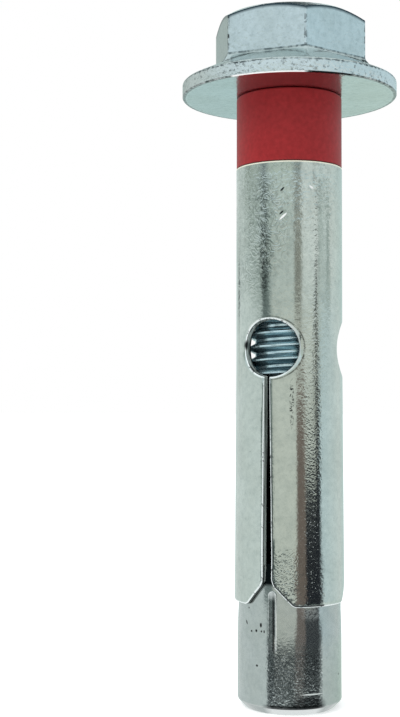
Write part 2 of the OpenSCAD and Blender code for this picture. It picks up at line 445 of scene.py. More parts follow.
def leaf_plate(low, high):
    """A third of the sleeve, laid flat: its window, its slit and its notch, with rolled lips."""
    window_z = high - WINDOW_DROP
    half = SECTOR * SLEEVE_R / 2
    clear_selection()
    bpy.ops.mesh.primitive_cube_add(size=1, location=(0, SLEEVE_WALL / 2, (low + high) / 2),
                                    scale=(2 * half, SLEEVE_WALL, high - low))
    plate = bpy.context.object
    plate.name = "expansion_sleeve"
    bpy.ops.object.transform_apply(location=True, rotation=True, scale=True)
    combine(plate, slit_cutter(low, window_z), "DIFFERENCE")
    combine(plate, window_cutter(window_z), "DIFFERENCE")
    edit(plate)
    bpy.ops.mesh.remove_doubles(threshold=MERGE)
    wide, tall = window_size(0, 1)

    def on_shoulder(edge):
        reaches = [math.hypot(v.co.x / wide, (v.co.z - window_z) / tall) for v in edge.verts]
        return max(abs(v.co.y) for v in edge.verts) < NEAR and max(abs(r - 1) for r in reaches) < NEAR

    pick_edges(plate, on_shoulder)
    bpy.ops.mesh.mark_sharp()
    pick_edges(plate, lambda e: runs_inwards(e, SLIT_END / 2, low + NOTCH_H))
    bpy.ops.mesh.bevel(offset=NOTCH_TOP_R, segments=5, profile=0.5, affect="EDGES")
    pick_edges(plate, lambda e: runs_inwards(e, NOTCH_W / 2, low))
    bpy.ops.mesh.bevel(offset=NOTCH_FOOT_R, segments=4, profile=0.5, affect="EDGES")

    def on_rim(edge, at_top):
        places = [v.co for v in edge.verts]
        if max(abs(p.y) for p in places) > NEAR or min(abs(p.x) for p in places) > half - NEAR:
            return False
        window = max(math.hypot(p.x, p.z - window_z) for p in places) < WINDOW_R + SIDE_ROLL + 0.1
        rim = not window and sum(f.normal.y < -0.9 for f in edge.link_faces) == 1
        return rim and at_top == (min(p.z for p in places) > high - NEAR)

    for at_top, lip in ((True, TOP_LIP), (False, LIP)):
        pick_edges(plate, lambda e: on_rim(e, at_top))
        bpy.ops.mesh.bevel(offset=lip, segments=LIP_STEPS, profile=0.5, affect="EDGES", clamp_overlap=False)
    pick_faces(plate, lambda f: abs(f.normal.x) > 0.99 and abs(f.calc_center_median().x) > half - NEAR)
    bpy.ops.mesh.delete(type="FACE")
    # Columns and rows of cuts let the plate follow its bends, with closer rows where the leaves end
    columns = [half * (2 * i / COLUMNS - 1) for i in range(1, COLUMNS)]
    rows = [low + 0.5 * i for i in range(1, 9)] + [low + 5 + 1.25 * i for i in range(29)]
    for place, normal in [((x, 0, 0), (1, 0, 0)) for x in columns] + [((0, 0, z), (0, 0, 1)) for z in rows]:
        bpy.ops.mesh.select_all(action="SELECT")
        bpy.ops.mesh.bisect(plane_co=place, plane_no=normal, threshold=SLIVER)
    bpy.ops.mesh.select_all(action="SELECT")
    bpy.ops.mesh.remove_doubles(threshold=MERGE)
    close_edit()
    return plate


def sleeve_radii(low, bend, z):
    """Inner and outer radius of the sleeve at a height: spread below the bend, opened by the cone."""
    spread = (LEAF_END_R - SLEEVE_R) * max(bend - z, 0) / (bend - low)
    seat = cone_radius(z) + SEAT_GAP if z < NUT_HIGH else 0
    return max(SLEEVE_BORE_R, seat), SLEEVE_R + spread


def sleeve(material):
    """Three plates rolled round the axis and joined, with their leaves spread."""
    low, high = SLEEVE_LOW, SLEEVE_HIGH
    bend = high - WINDOW_DROP - WINDOW_R / 2
    piece = leaf_plate(low, high)
    for vertex in piece.data.vertices:
        inner, outer = sleeve_radii(low, bend, vertex.co.z)
        radius = outer - (outer - inner) * vertex.co.y / SLEEVE_WALL
        angle = math.radians(SLIT_TURN) + vertex.co.x / SLEEVE_R
        vertex.co.x = radius * math.sin(angle)
        vertex.co.y = -radius * math.cos(angle)
    thirds = [piece]
    for turn in (SECTOR, 2 * SECTOR):
        third = piece.copy()
        third.data = piece.data.copy()
        third.data.transform(Matrix.Rotation(turn, 4, "Z"))
        bpy.context.collection.objects.link(third)
        thirds.append(third)
    clear_selection()
    for third in thirds:
        third.select_set(True)
    bpy.context.view_layer.objects.active = piece
    bpy.ops.object.join()
    edit(piece)
    tidy_open_mesh()
    close_edit()
    return finish_piece(piece, "sleeve", "sleeve", material)


# Cone nut: three ribs on its straight part reach up into the sleeve's notches

NUT_CHAMFER = 0.7
NUT_EDGE = 0.1
TAPER_STEPS = 12
MOUTH_DEPTH = 0.79
RIB_DEPTH = 1.2
RIB_W = 0.8
RIB_GAP = 0.65
RIB_EDGE = 0.07
NUT_TURN = 3
NUT_CREST_R = 3.34
NUT_ROOT_R = 4.03


def rib_plate(name, low, high):
    """A rib laid flat, with a round upper end and softened edges."""
    clear_selection()
    bpy.ops.mesh.primitive_cube_add(size=1, location=(0, RIB_DEPTH / 2, (low + high) / 2),
                                    scale=(RIB_W, RIB_DEPTH, high - low))
    piece = bpy.context.object
    piece.name = name
    bpy.ops.object.transform_apply(location=True, rotation=True, scale=True)
    edit(piece)

    def on_upper_end(edge):
        a, b = (v.co for v in edge.verts)
        return abs(a.y - b.y) > RIB_DEPTH / 2 and a.z > high - 0.1

    pick_edges(piece, on_upper_end)
    bpy.ops.mesh.bevel(offset=RIB_W / 2 - NEAR, segments=8, profile=0.5, affect="EDGES")
    pick_edges(piece, lambda e: max(abs(v.co.y) for v in e.verts) < NEAR)
    bpy.ops.mesh.bevel(offset=RIB_EDGE, segments=3, profile=0.5, affect="EDGES")
    close_edit()
    return piece


def cone_nut(material):
    """Turned nut with a taper, three ribs and an internal thread."""
    low, high = NUT_LOW, NUT_HIGH
    levels = [NUT_STRAIGHT + (high - NUT_STRAIGHT) * i / TAPER_STEPS for i in range(TAPER_STEPS + 1)]
    foot = [(0, low), (NUT_R - NUT_CHAMFER, low), (NUT_R - NUT_EDGE, NUT_CHAMFER - NUT_EDGE),
            (NUT_R - NUT_EDGE / 4, NUT_CHAMFER), (NUT_R, NUT_CHAMFER + NUT_EDGE)]
    piece = turned("cone_nut_body", foot + [(cone_radius(z), z) for z in levels] + [(0, high)])
    rib_low = NUT_STRAIGHT - RIB_W
    rib_high = SLEEVE_LOW + NOTCH_H - RIB_GAP
    face = math.sqrt(NUT_R ** 2 - (RIB_W / 2) ** 2)
    for i in range(3):
        rib = rib_plate("rib", rib_low, rib_high)
        rib.data.transform(Matrix.Rotation(math.radians(SLIT_TURN + NUT_TURN) + i * SECTOR, 4, "Z")
                           @ Matrix.Translation((0, -face, 0)))
        combine(piece, rib, "UNION")
    combine(piece, threaded_rod("tap", NUT_ROOT_R, NUT_CREST_R, low - 1, high + 1), "DIFFERENCE")
    mouth_end = low + MOUTH_DEPTH
    mouth = turned("mouth", [(0, low - 0.5), (NUT_ROOT_R + 0.5, low - 0.5),
                             (NUT_CREST_R - 0.1, mouth_end), (0, mouth_end)], SMALL_ROUND_STEPS)
    combine(piece, mouth, "DIFFERENCE")
    return finish_piece(piece, "nut", "cone_nut", material)


# Finishes


def add_node(tree, kind, *values, **settings):
    """Adds a shader node. Values, sockets and nodes go to its inputs in order, and a setting goes
    to the property or the input of its name. The stops of a ramp are places with hex colours."""
    node = tree.nodes.new("ShaderNode" + kind)
    stops = settings.pop("stops", [])
    for name in [name for name in settings if hasattr(node, name)]:
        setattr(node, name, settings.pop(name))
    sockets = [socket for socket in node.inputs if socket.enabled]
    links = list(zip(sockets, values))
    for name, value in settings.items():
        links.append((next(socket for socket in sockets if socket.name == name.replace("_", " ")), value))
    for socket, value in links:
        if isinstance(value, bpy.types.Node):
            value = next(output for output in value.outputs if output.enabled)
        if isinstance(value, bpy.types.NodeSocket):
            tree.links.new(value, socket)
        else:
            socket.default_value = value
    while len(stops) > 2 and len(node.color_ramp.elements) < len(stops):
        node.color_ramp.elements.new(1.0)
    for number, (place, code) in enumerate(stops):
        node.color_ramp.elements[number].position = place
        node.color_ramp.elements[number].color = linear(code)
    return node


def new_material(name):
    """A material with nothing in it, what adds its nodes, and the place on the anchor in millimetres."""
    material = bpy.data.materials.new(name)
    material.use_nodes = True
    material.node_tree.nodes.clear()
    add = functools.partial(add_node, material.node_tree)
    place = add("VectorMath", add("TexCoord").outputs["Object"], operation="SCALE", Scale=1 / MM)
    return material, add, place


def round_the_axis(add, place):
    """Way out from the anchor's axis, distance from it, height, and how squarely the surface faces out."""
    level = add("VectorMath", place, (1, 1, 0), operation="MULTIPLY")
    outward = add("VectorMath", level, operation="NORMALIZE")
    radius = add("VectorMath", level, operation="LENGTH")
    facing = add("VectorMath", outward, add("TexCoord").outputs["Normal"], operation="DOT_PRODUCT")
    return outward, radius, add("SeparateXYZ", place).outputs["Z"], facing


def sideways(degrees):
    """Level direction at an angle from the front."""
    return math.sin(math.radians(degrees)), -math.cos(math.radians(degrees)), 0


def zinc_skin(add, place, colour, coats, roughness, peel, relief=None, peel_width=0.3, metallic=1.0):
    """Bright zinc plating: a mirror with the orange peel of its bath, clouded every 4 mm and mottled
    every 0.6 mm. The coats are what lies on it, and painted shade and highlights, as shares and
    colours from the lowest up. The peel is the depth of its grain in millimetres. The real grain is
    under 0.1 mm wide, less than a pixel, so it is drawn wider."""
    cloud = add("TexNoise", place, Scale=1 / 4, Detail=4)
    mottle = add("TexNoise", place, Scale=1 / 0.6, Detail=4, Roughness=0.7)
    grain = add("TexNoise", place, Scale=1 / peel_width, Detail=2)
    cloudy = add("MapRange", cloud, 0.35, 0.65, 0, 0.25)
    shade = add("Mix", cloudy, linear(colour), linear("#a8b0a6"), data_type="RGBA")
    coats = [(add("MapRange", mottle, 0.4, 0.75, 0, 0.3), "#7f8f90")] + coats
    for share, code in coats:
        shade = add("Mix", share, shade, linear(code), data_type="RGBA")
    height = add("Math", grain, peel, operation="MULTIPLY")
    if relief is not None:
        height = add("Math", height, relief, operation="ADD")
    bump = add("Bump", Strength=1, Distance=MM, Height=height)
    metal = add("BsdfPrincipled", shade, metallic, roughness, Normal=bump)
    add("OutputMaterial", metal)


def pits(add, place, cell_width, pit_width):
    """Small dark pits in the plating, about one in every third cell."""
    cell = add("TexVoronoi", place, Scale=1 / cell_width)
    chance = add("SeparateColor", cell.outputs["Color"])
    reach = add("MapRange", chance, 0.6, 1, 0, pit_width / cell_width / 2)
    gap = add("Math", reach, cell.outputs["Distance"], operation="SUBTRACT")
    return add("MapRange", gap, 0, 0.02, 0, 0.8)


def mark(add, place, radius, turn, height, lean, width, length):
    """Share of one oval mark on a round surface, at a turn and a height, leaning from upright."""
    x, y, _ = sideways(turn)
    spot = add("Mapping", place, vector_type="TEXTURE", Location=(radius * x, radius * y, height),
               Rotation=(0, math.radians(lean), math.radians(turn)), Scale=(width / 2, 1, length / 2))
    return add("MapRange", add("VectorMath", spot, operation="LENGTH"), 1, 0.6)


def most(add, shares):
    """The largest of several shares."""
    return functools.reduce(lambda one, other: add("Math", one, other, operation="MAXIMUM"), shares)


def marks(add, place, radius, spots):
    """Share of several oval marks, each with its turn, height, lean, width and length."""
    return most(add, [mark(add, place, radius, *spot) for spot in spots])


def turn_in_third(add, place, middle):
    """Angle from a place that comes three times round the anchor, in radians."""
    flat = add("SeparateXYZ", place).outputs
    turn = add("Math", flat["X"], add("Math", flat["Y"], -1, operation="MULTIPLY"), operation="ARCTAN2")
    turn = add("Math", turn, math.radians(middle), operation="SUBTRACT")
    return add("Math", turn, SECTOR / 2, -SECTOR / 2, operation="WRAP")


def off_window_middle(add, height):
    """Height above or below the middle of the sleeve's windows."""
    off = add("Math", height, SLEEVE_HIGH - WINDOW_DROP, operation="SUBTRACT")
    return add("Math", off, operation="ABSOLUTE")


def head_bruises(add, place, radius, height, wobble):
    """Dark lines where the tools have bruised the hexagon's corners and the rim's upper edge, broken
    into dashes and patches 2 mm wide, and a speckle towards the rim."""
    corner_r, corner_low, rim_top = 7.41, FLANGE_LOW + 2.9, FLANGE_LOW + RIM_H
    corner = add("MapRange", radius, corner_r, corner_r + 0.03)
    corner = add("Math", corner, add("MapRange", height, corner_low, corner_low + 0.2), operation="MULTIPLY")
    rim = add("MapRange", radius, FLANGE_R - 0.35, FLANGE_R - 0.25)
    line = add("MapRange", height, rim_top - 0.24, rim_top - 0.18)
    line = add("Math", line, add("MapRange", height, rim_top, rim_top - 0.08), operation="MULTIPLY")
    line = add("Math", line, rim, operation="MULTIPLY")
    patches = add("TexNoise", place, Scale=1 / 2, Detail=2)
    patches = add("MapRange", patches, 0.35, 0.6, 0.15, 0.9)
    broken = add("Math", add("MapRange", wobble, 0.45, 0.52), patches, operation="MULTIPLY")
    bruise = add("Math", most(add, [corner, line]), broken, operation="MULTIPLY")
    speckle = add("MapRange", radius, FLANGE_R - 0.75, FLANGE_R - 0.15, 0.12, 0.5)
    speckle = add("Math", add("MapRange", wobble, 0.56, 0.66), speckle, operation="MULTIPLY")
    return most(add, [bruise, speckle, pits(add, place, 1.1, 0.2)])


def hexagon_shadows(add, radius, height, facing, wobble):
    """Painted shade: a dark upper edge of the flats under the crown, fading downwards, and a darker
    foot in the crease where the flats run into the flange, broken up in patches.
    """
    slope = math.tan(math.radians(HEX_CHAMFER))
    crown_height = add("Math", radius, slope, height, operation="MULTIPLY_ADD")
    crown_top = BOLT_HIGH + (HEX_AF / 2 - HEX_CROWN) * slope
    crown = add("MapRange", crown_height, crown_top - 0.34, crown_top - 0.08)
    crown = add("Math", crown, add("MapRange", facing, 0.65, 0.8), operation="MULTIPLY")
    upward = add("SeparateXYZ", add("TexCoord").outputs["Normal"]).outputs["Z"]
    foot = add("MapRange", upward, 0.06, 0.16)
    foot = add("Math", foot, add("MapRange", upward, 0.5, 0.35), operation="MULTIPLY")
    foot_high = FLANGE_LOW + 4.2
    foot = add("Math", foot, add("MapRange", height, foot_high, foot_high - 0.3), operation="MULTIPLY")
    foot = add("Math", foot, add("MapRange", wobble, 0.4, 0.6, 0.25, 0.85), operation="MULTIPLY")
    return crown, foot


def rim_foot(add, outward, radius, height, wobble):
    """Sharp lower edge of the rim: grimy all round, with a painted highlight left of the front and a
    painted dark reflection right of it.
    """
    rim = add("MapRange", radius, FLANGE_R - 0.35, FLANGE_R - 0.25)
    low = add("MapRange", height, FLANGE_LOW + 0.14, FLANGE_LOW + 0.09)
    edge = add("Math", rim, low, operation="MULTIPLY")
    sectors = []
    for middle, half in ((-11, 20), (22, 13)):
        turn = add("VectorMath", outward, sideways(middle), operation="DOT_PRODUCT")
        limit = math.cos(math.radians(half))
        sectors.append(add("Math", add("MapRange", turn, limit, limit + 0.01), edge, operation="MULTIPLY"))
    rim_highlight, painted_dark = sectors
    grimy = add("Math", edge, add("MapRange", wobble, 0.35, 0.6, 0.35, 0.9), operation="MULTIPLY")
    return grimy, rim_highlight, painted_dark


def forged_zinc():
    """Zinc on a cold-forged bolt: pale blue-white, with bruised edges broken up every 0.4 mm, and a
    thread that is painted dark as shade inside the sleeve, less so in the windows, and carries a
    painted highlight on its crests and roots there."""
    material, add, place = new_material("bright zinc on forged steel")
    outward, radius, height, facing = round_the_axis(add, place)
    wobble = add("TexNoise", place, Scale=1 / 0.4, Detail=3, Roughness=0.6)
    dark = head_bruises(add, place, radius, height, wobble)
    crown, foot = hexagon_shadows(add, radius, height, facing, wobble)
    grimy, rim_highlight, painted_dark = rim_foot(add, outward, radius, height, wobble)
    # The thread, painted dark as shade and less so in the windows, where what faces out carries a
    # painted highlight; and lines that its rolling has left along it, 0.2 mm high and 6 mm long
    thread = add("MapRange", radius, CREST_R + 0.43, CREST_R + 0.33)
    under_head = add("MapRange", height, FLANGE_LOW + 0.1, FLANGE_LOW - 0.1)
    thread = add("Math", thread, under_head, operation="MULTIPLY")
    in_window = add("MapRange", off_window_middle(add, height), WINDOW_R + 0.1, WINDOW_R - 0.1)
    in_window = add("Math", thread, in_window, operation="MULTIPLY")
    thread_highlight = add("Math", add("MapRange", facing, 0.6, 0.95), in_window, operation="MULTIPLY")
    ring_place = add("VectorMath", place, (1 / 6, 1 / 6, 1 / 0.2), operation="MULTIPLY")
    rolled = add("TexNoise", ring_place, Scale=1, Detail=2)
    rolled_lines = add("Math", add("MapRange", rolled, 0.48, 0.56), in_window, operation="MULTIPLY")
    relief = add("Math", add("Math", rolled, 0.08, operation="MULTIPLY"), thread, operation="MULTIPLY")
    rim_white = add("MapRange", radius, FLANGE_R - 0.55, FLANGE_R - 0.35, 0, 0.3)
    peel = add("MapRange", radius, FLANGE_R - 0.65, FLANGE_R - 0.25, 0.014, 0.04)
    metallic = add("MapRange", in_window, 0, 1, 1, 0.82)
    coats = [(rim_white, "#f0f4f2"), (dark, "#1d2224"), (crown, "#34444c"), (foot, "#4a585e"),
             (grimy, "#2c3a3a"), (rim_highlight, "#ffffff"), (painted_dark, "#101617"), (thread, "#2c3a40"),
             (in_window, "#4f6a73"), (rolled_lines, "#a4c2ca"), (thread_highlight, "#cfe6ee")]
    zinc_skin(add, place, "#d0dcde", coats, 0.15, peel, relief, metallic=metallic)
    return material


def sleeve_ripples(add, place, height, smooth_top):
    """Ripples in the zinc of the sleeve's upper part, in patches 5 mm wide and one larger print: their
    shade and their relief. They are a noise 1.1 mm wide that is counted round, about 0.15 mm apart."""
    swirl = add("TexNoise", place, Scale=1 / 1.1, Detail=1, Distortion=0.5)
    ripple = add("Math", add("Math", swirl, 55, operation="MULTIPLY"), operation="SINE")
    patch = add("MapRange", add("TexNoise", place, Scale=1 / 5, Detail=2), 0.5, 0.65)
    patch = most(add, [patch, mark(add, place, SLEEVE_R, -26, SLEEVE_HIGH - 6, 0, 7, 11)])
    rippled = add("MapRange", height, SLEEVE_HIGH - 15, SLEEVE_HIGH - 9)
    rippled = add("Math", patch, rippled, operation="MULTIPLY")
    rippled = add("Math", rippled, smooth_top, operation="MULTIPLY")
    shade = add("Math", add("MapRange", ripple, 0, 1, 0, 0.3), rippled, operation="MULTIPLY")
    relief = add("Math", add("Math", ripple, 0.003, operation="MULTIPLY"), rippled, operation="MULTIPLY")
    return shade, relief


def sleeve_grain(add, place):
    """Relief of a rougher grain: where the rib has pushed the leaf, and down the leaf beside the slit.
    The real grain is finer than a pixel, so it is drawn 0.2 mm wide."""
    pushed = mark(add, place, SLEEVE_R, -4, SLEEVE_LOW + NOTCH_H + 1.4, 0, 3.4, 5)
    worn = mark(add, place, SLEEVE_R, 30, SLEEVE_LOW + 18.5, 0, 3.6, 22)
    depth = add("Math", worn, 0.014, operation="MULTIPLY")
    depth = add("Math", pushed, 0.026, depth, operation="MULTIPLY_ADD")
    return add("Math", add("TexNoise", place, Scale=1 / 0.2, Detail=1), depth, operation="MULTIPLY")


def window_lines(add, height, facing, worms, across):
    """Fine lines of painted shade: round each window's rolled edge, darkest on its right, and beside the
    rolled edge that lies right of the slit and the notch."""
    tall = window_size(0, 1)[1]
    window_z = SLEEVE_HIGH - WINDOW_DROP
    spot = add("CombineXYZ", across, add("MapRange", height, window_z, window_z + tall, clamp=False))
    outline = add("Math", add("VectorMath", spot, operation="LENGTH"), 1.035, operation="SUBTRACT")
    outline = add("MapRange", add("Math", outline, operation="ABSOLUTE"), 0.03, 0.015, 0, 0.7)
    outline = add("Math", outline, add("MapRange", worms, 0.4, 0.55, 0.25, 1), operation="MULTIPLY")
    outline = add("Math", outline, add("MapRange", across, -0.4, 0.5, 0.1, 1), operation="MULTIPLY")
    slit_top = window_z - WINDOW_R
    contour = add("MapRange", facing, 0.999, 0.996)
    contour = add("Math", contour, add("MapRange", facing, 0.91, 0.94), operation="MULTIPLY")
    contour = add("Math", contour, add("MapRange", across, 0, 0.1), operation="MULTIPLY")
    below = add("MapRange", height, slit_top, slit_top - 0.3, 0, 0.95)
    return outline, add("Math", contour, below, operation="MULTIPLY")


def sleeve_marks(add, place, grit):
    """Marks in the sleeve's plating: bright nicks, dark chips, a scuff with flecks, and bright specks.
    The real specks are finer than a pixel, so they are drawn 0.16 mm wide."""
    top, low = SLEEVE_HIGH, SLEEVE_LOW
    nicks = marks(add, place, SLEEVE_R, [(-6.3, top - 5.1, 48, 0.22, 1.1), (24, top - 2.4, -55, 0.2, 0.6)])
    chips = marks(add, place, SLEEVE_R, [
        (-8, top - 4.75, 48, 0.2, 0.6), (-7, top - 2.6, 45, 0.2, 0.6),
        (-52.5, top - 16.8, 5, 1, 1.2), (-44.5, top - 18.8, -40, 0.55, 1.4)])
    scuff = mark(add, place, SLEEVE_R, 2.6, top - 22.2, 0, 0.5, 5)
    scuff = add("Math", scuff, add("MapRange", grit, 0.5, 0.56), operation="MULTIPLY")
    flecks = mark(add, place, SLEEVE_R, -26.5, top - 9, 0, 1.4, 8)
    flecks = add("Math", flecks, add("MapRange", grit, 0.46, 0.56, 0, 0.6), operation="MULTIPLY")
    specks = add("MapRange", add("TexNoise", place, Scale=1 / 0.16, Detail=1), 0.66, 0.74, 0, 0.8)
    specks = add("Math", mark(add, place, SLEEVE_R, 27, low + 7, 0, 3, 20), specks, operation="MULTIPLY")
    return nicks, chips, [scuff, flecks], specks


def rolled_lips(add, height, facing, worms, across):
    """Rolled edges of the sleeve's cuts: a lip that is whitened by rubbing and carries a painted
    highlight, painted shade on it right of the window, bruises in places, and a painted dark band
    where the lip turns into the cut face."""
    off_window = off_window_middle(add, height)
    square = add("MapRange", off_window, WINDOW_R + 0.3, WINDOW_R + 0.5, 0.88, 0.996)
    lip = add("MapRange", facing, square, add("Math", square, 0.05, operation="SUBTRACT"))
    lip = add("Math", lip, add("MapRange", facing, 0.45, 0.6), operation="MULTIPLY")
    beside_window = add("MapRange", off_window, WINDOW_R + 0.3, WINDOW_R)
    right_lip_shade = add("MapRange", across, 0.45, 0.75, 0, 0.55)
    right_lip_shade = add("Math", right_lip_shade, beside_window, operation="MULTIPLY")
    right_lip_shade = add("Math", right_lip_shade, lip, operation="MULTIPLY")
    bruised = add("Math", add("MapRange", worms, 0.6, 0.63), lip, operation="MULTIPLY")
    bruised = add("Math", bruised, 0.8, operation="MULTIPLY")
    lip_turn_shade = add("MapRange", facing, 0.6, 0.45)
    lip_turn_shade = add("Math", lip_turn_shade, add("MapRange", facing, 0.05, 0.15), operation="MULTIPLY")
    lip_turn_shade = add("Math", lip_turn_shade, 0.85, operation="MULTIPLY")
    return lip, right_lip_shade, bruised, lip_turn_shade


def cut_face_shade(add, radius, height, streaks):
    """Painted shade on the cut faces: all over the notch, deep in the lower slit and near the bore;
    and dark streaks.
    """
    notch = add("MapRange", height, SLEEVE_LOW + NOTCH_H + 0.2, SLEEVE_LOW + NOTCH_H)
    lower_slit = add("MapRange", radius, SLEEVE_R - 0.5, SLEEVE_R - 0.58)
    low_down = add("MapRange", height, SLEEVE_LOW + 17, SLEEVE_LOW + 12)
    lower_slit = add("Math", lower_slit, low_down, operation="MULTIPLY")
    at_bore = add("MapRange", radius, SLEEVE_R - 0.7, SLEEVE_R - 0.78)
    return most(add, [notch, lower_slit, at_bore, add("MapRange", streaks, 0.5, 0.6, 0, 0.6)])


def rolled_zinc():
    """Zinc on a sleeve rolled from strip: drawn streaks, wormy smudges towards its upper end, white lips
    round its cuts that are worn by rubbing and carry a painted highlight, and cut faces and a bore
    painted dark as shade."""
    material, add, place = new_material("bright zinc on rolled steel")
    outward, radius, height, facing = round_the_axis(add, place)
    top, low, window_z = SLEEVE_HIGH, SLEEVE_LOW, SLEEVE_HIGH - WINDOW_DROP
    # Streaks 0.45 mm wide and 50 times as long, worms 0.9 mm wide and grit of 0.25 mm
    streak_place = add("VectorMath", place, (1, 1, 1 / 50), operation="MULTIPLY")
    streaks = add("TexNoise", streak_place, Scale=1 / 0.45, Detail=3, Roughness=0.6)
    worms = add("TexNoise", place, Scale=1 / 0.9, Detail=3, Roughness=0.65, Distortion=1.6)
    grit = add("TexNoise", place, Scale=1 / 0.25, Detail=3, Roughness=0.7, Distortion=0.8)
    smudge = add("MapRange", worms, 0.5, 0.7)
    smudge = add("Math", smudge, add("MapRange", streaks, 0.45, 0.65), operation="MULTIPLY")
    smudge = add("Math", smudge, add("MapRange", height, window_z, top - 4, 0, 0.5), operation="MULTIPLY")
    gritty = add("MapRange", height, window_z, top - 8, 0.12, 0.3)
    gritty = add("Math", add("MapRange", grit, 0.5, 0.7), gritty, operation="MULTIPLY")
    smooth_top = add("MapRange", height, top - 0.9, top - 1.5)
    ripple_shade, relief = sleeve_ripples(add, place, height, smooth_top)
    relief = add("Math", relief, sleeve_grain(add, place), operation="ADD")
    nicks, chips, scuffs, specks = sleeve_marks(add, place, grit)
    dark = most(add, [smudge, pits(add, place, 1.7, 0.18), *scuffs])
    # How far across the window a place lies: 0 at its middle, 1 where its rolled edge meets the skin
    across = turn_in_third(add, place, SLIT_TURN)
    across = add("Math", across, SLEEVE_R / window_size(0, 1)[0], operation="MULTIPLY")
    lip, right_lip_shade, bruised, lip_turn_shade = rolled_lips(add, height, facing, worms, across)
    lines = window_lines(add, height, facing, worms, across)
    face = add("MapRange", facing, 0.15, 0.05)
    # Painted shade on the cut faces, with dark streaks
    painted_dark = cut_face_shade(add, radius, height, streaks)
    cut = add("Math", face, add("MapRange", painted_dark, 0, 1, 0, 0.98), operation="MULTIPLY")
    # Painted shade on the bore
    inside = add("MapRange", radius, SLEEVE_BORE_R + 0.06, SLEEVE_BORE_R + 0.02)
    # A cream painted highlight on the worn upper edge under the collar
    top_edge_highlight = add("MapRange", height, top - 0.14, top - 0.06)
    # The peel is deepest near the upper end, and a little deeper where the leaves end
    upper = add("Math", add("MapRange", height, top - 10, top - 4), smooth_top, operation="MULTIPLY")
    lower = add("Math", add("MapRange", height, low + 5, low + 2), 0.4, operation="MULTIPLY")
    peel = add("Math", most(add, [upper, lower]), 0.014, 0.007, operation="MULTIPLY_ADD")
    # Zinc worn by rubbing, and zinc with a painted highlight, is whiter and less of a mirror, and so
    # are cut faces outside their painted shade
    rubbed_and_highlit = most(add, [lip, nicks, top_edge_highlight])
    rough = add("MapRange", most(add, [rubbed_and_highlit, face]), 0, 1, 0.1, 0.35)
    metallic = add("MapRange", most(add, [rubbed_and_highlit, specks]), 0, 1, 1, 0.3)
    unshaded_face = add("Math", face, painted_dark, operation="SUBTRACT")
    metallic = add("Math", metallic, add("MapRange", unshaded_face, 0, 1, 1, 0.1), operation="MINIMUM")
    coats = [(gritty, "#6f7b78"), (ripple_shade, "#3c4644"), (dark, "#1d2224"), (cut, "#121719"),
             (inside, "#6d7f86"), (lip, "#f2fafa"), (right_lip_shade, "#76837f"), (top_edge_highlight, "#fffbe6"),
             (nicks, "#ffffff"), (specks, "#e8eeee"), (lip_turn_shade, "#20282a"), (bruised, "#1d2224"),
             # Lines of painted shade, together with the dark chips
             (most(add, [*lines, chips]), "#1d2224")]
    zinc_skin(add, place, "#d0dad5", coats, rough, peel, relief, metallic=metallic)
    return material


def rib_mottle_and_lights(add, place, radius, height, mottle):
    """The nut's ribs: their pale mottle, a painted dark line along them, and painted highlights on the
    right edge and the upper end, which are also made less of a mirror."""
    across = turn_in_third(add, place, SLIT_TURN + NUT_TURN)
    across = add("Math", across, NUT_R, operation="MULTIPLY")
    proud = add("MapRange", height, NUT_STRAIGHT - 0.5, NUT_STRAIGHT)
    proud = add("Math", proud, add("MapRange", radius, NUT_R - 0.11, NUT_R - 0.07), operation="MULTIPLY")
    in_rib = add("Math", across, operation="ABSOLUTE")
    in_rib = add("MapRange", in_rib, RIB_W / 2 + 0.05, RIB_W / 2)
    proud = add("Math", proud, in_rib, operation="MULTIPLY")
    off_line = add("Math", add("Math", across, 0.12, operation="SUBTRACT"), operation="ABSOLUTE")
    line = add("Math", proud, add("MapRange", off_line, 0.1, 0.05), operation="MULTIPLY")
    edge = add("Math", proud, add("MapRange", across, 0.28, 0.36, 0, 0.75), operation="MULTIPLY")
    rib_top = SLEEVE_LOW + NOTCH_H - RIB_GAP
    cap = add("Math", proud, add("MapRange", height, rib_top - 0.9, rib_top - 0.3), operation="MULTIPLY")
    cap = add("Math", cap, 0.7, operation="MULTIPLY")
    pale = add("Math", proud, add("MapRange", mottle, 0, 1, 0, 0.5), operation="MULTIPLY")
    return pale, add("Math", line, 0.85, operation="MULTIPLY"), [edge, cap]


def nut_chamfer(add, outward, height):
    """The nut's chamfer: grey all round, with a painted highlight at its front and a painted dark
    line above it.
    """
    chamfer_top = NUT_LOW + NUT_CHAMFER
    chamfer = add("MapRange", height, chamfer_top, chamfer_top - 0.1)
    front = add("VectorMath", outward, sideways(6), operation="DOT_PRODUCT")
    front = add("MapRange", front, 0.8, 0.9)
    line = add("MapRange", height, chamfer_top + 0.3, chamfer_top + 0.2)
    below = add("MapRange", height, chamfer_top - 0.12, chamfer_top - 0.08)
    line = add("Math", line, below, operation="MULTIPLY")
    line = add("Math", line, front, operation="MULTIPLY")
    line = add("Math", line, 0.85, operation="MULTIPLY")
    return chamfer, add("Math", chamfer, front, operation="MULTIPLY"), line


def front_flecks(add, place, outward, height):
    """Painted dark and light flecks on the front of the nut's straight part, standing in for the shade
    and highlights that its rough grain catches. The real grain is finer than a pixel, so the flecks
    are drawn 0.17 mm wide."""
    flake = add("TexNoise", place, Scale=1 / 0.17, Detail=2, Roughness=0.6)
    facing_front = add("MapRange", add("VectorMath", outward, sideways(7), operation="DOT_PRODUCT"), 0.85, 0.87)
    straight = add("MapRange", height, NUT_STRAIGHT + 0.3, NUT_STRAIGHT - 0.6)
    facing_front = add("Math", facing_front, straight, operation="MULTIPLY")
    shadow = add("Math", add("MapRange", flake, 0.58, 0.44, 0, 0.5), facing_front, operation="MULTIPLY")
    return shadow, add("Math", add("MapRange", flake, 0.56, 0.68, 0, 0.6), facing_front, operation="MULTIPLY")


